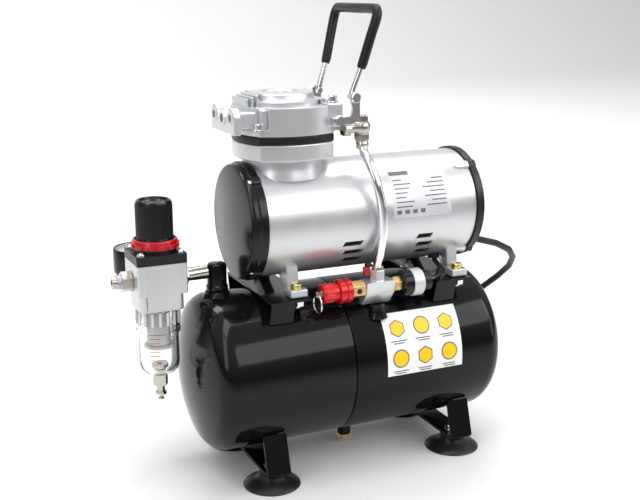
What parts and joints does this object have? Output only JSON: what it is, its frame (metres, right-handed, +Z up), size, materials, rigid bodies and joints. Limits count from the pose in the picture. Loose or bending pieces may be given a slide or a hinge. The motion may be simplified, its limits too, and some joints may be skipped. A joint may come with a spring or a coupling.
{
  "type": "airbrush compressor",
  "caption": "Piston air pump and motor on a small horizontal air tank, with folding handle, filter-regulator, gauge, relief valve, pressure switch and suction-cup feet.",
  "frame": {"origin": "on the floor the feet stand on, under the middle of the machine without its mains cord", "axes": "+X along the tank towards the motor cover with the mains cord, +Y towards the back where the gauge is, +Z up"},
  "size_m": [0.3911, 0.2041, 0.3645],
  "materials": {
    "black_paint": "gloss black enamel",
    "black_plastic": "fine satin",
    "rubber": "smooth",
    "cast_silver": "silver lacquer on die-cast aluminium",
    "steel": "ground",
    "chrome": "bright plated",
    "nickel": "nickel plated brass",
    "brass": "machined",
    "red_metal": "red anodised",
    "red_plastic": "moulded, slightly translucent",
    "clear_plastic": "clear moulded",
    "white_plastic": "moulded",
    "copper": "varnished copper windings"
  },
  "bodies": {
    "frame": {"bonnet_plate": "black_plastic", "bowl_collar": "clear_plastic", "bowl_drain_body": "nickel", "cord_coil": "rubber", "crankcase": "cast_silver", "cylinder_head": "cast_silver", "delivery_elbow": "nickel", "delivery_hose": "steel", "drain_valve_body": "black_paint", "filter_bowl": "clear_plastic", "filter_element": "white_plastic", "foot_cup_back_left": "rubber", "foot_cup_back_right": "rubber", "foot_cup_front_left": "rubber", "foot_cup_front_right": "rubber", "front_bearing": "steel", "gauge_case": "black_plastic", "handle_bracket_back": "chrome", "handle_bracket_front": "chrome", "inlet_elbow": "black_paint", "inlet_nipple": "nickel", "left_end_cover": "black_plastic", "leg_strap_left": "black_paint", "leg_strap_right": "black_paint", "locking_ring": "red_plastic", "main_spring": "steel", "mains_cord": "rubber", "mains_plug": "rubber", "manifold_block": "cast_silver", "motor_housing": "cast_silver", "outlet_nipple": "nickel", "pressure_switch": "white_plastic", "rear_bearing": "steel", "regulator_body": "cast_silver", "right_end_cover": "black_plastic", "saddle_left": "black_paint", "saddle_right": "black_paint", "safety_valve_adaptor": "brass", "safety_valve_body": "red_metal", "stator": "copper", "strain_relief": "rubber", "switch_adaptor": "brass", "switch_lead": "rubber", "tank_left_half": "black_paint", "tank_right_half": "black_paint", "valve_plate": "black_plastic"},
    "crankshaft": {"rotor": "steel", "cooling_fan": "black_plastic", "crank_disc": "steel"},
    "piston": {"piston_rod": "steel"},
    "handle": {"carrying_bail": "chrome", "handle_grip": "rubber"},
    "regulator_screw": {"adjusting_screw": "brass"},
    "knob": {"pressure_knob": "black_plastic"},
    "relief_pin": {"relief_stem": "nickel"},
    "relief_ring": {"pull_ring": "chrome"},
    "tank_drain": {"drain_screw": "brass"},
    "bowl_drain": {"bowl_drain_pin": "steel"},
    "needle": {"gauge_needle": "black_plastic"},
    "rocker": {"power_rocker": "red_plastic"}
  },
  "joints": [
    {"name": "crank_spin", "type": "hinge", "parent": "frame", "child": "crankshaft", "pos_m": [0, 0, 0.202], "axis": [1, 0, 0], "continuous": true},
    {"name": "piston_travel", "type": "slide", "parent": "frame", "child": "piston", "axis": [0, 0, 1], "range_m": [-0.014, 0]},
    {"name": "handle_fold", "type": "hinge", "parent": "frame", "child": "handle", "pos_m": [0.0227, 0, 0.296], "axis": [0, 1, 0], "range_deg": [-88, 100]},
    {"name": "pressure_turn", "type": "hinge", "parent": "frame", "child": "regulator_screw", "pos_m": [-0.125, 0, 0.2], "axis": [0, 0, -1], "range_deg": [0, 1440]},
    {"name": "knob_lift", "type": "slide", "parent": "regulator_screw", "child": "knob", "axis": [0, 0, 1], "range_m": [0, 0.003]},
    {"name": "relief_pull", "type": "slide", "parent": "frame", "child": "relief_pin", "axis": [-1, 0, 0], "range_m": [0, 0.003], "stiffness_N_per_m": 2500},
    {"name": "ring_swing", "type": "hinge", "parent": "relief_pin", "child": "relief_ring", "pos_m": [-0.0123, -0.0445, 0.1495], "axis": [0, 1, 0], "range_deg": [0, 35]},
    {"name": "tank_drain_turn", "type": "hinge", "parent": "frame", "child": "tank_drain", "pos_m": [0.0328, 0, 0.006], "axis": [0, 0, 1], "range_deg": [0, 360]},
    {"name": "bowl_drain_push", "type": "slide", "parent": "frame", "child": "bowl_drain", "axis": [0, 0, 1], "range_m": [0, 0.0025], "stiffness_N_per_m": 300},
    {"name": "needle_sweep", "type": "hinge", "parent": "frame", "child": "needle", "pos_m": [-0.128, 0.04, 0.177], "axis": [0, 0, -1], "range_deg": [0, 270], "stiffness_Nm_per_rad": 0.0004},
    {"name": "power_rock", "type": "hinge", "parent": "frame", "child": "rocker", "pos_m": [0.1345, 0, 0.226], "axis": [0, 1, 0], "range_deg": [0, 6]}
  ]
}
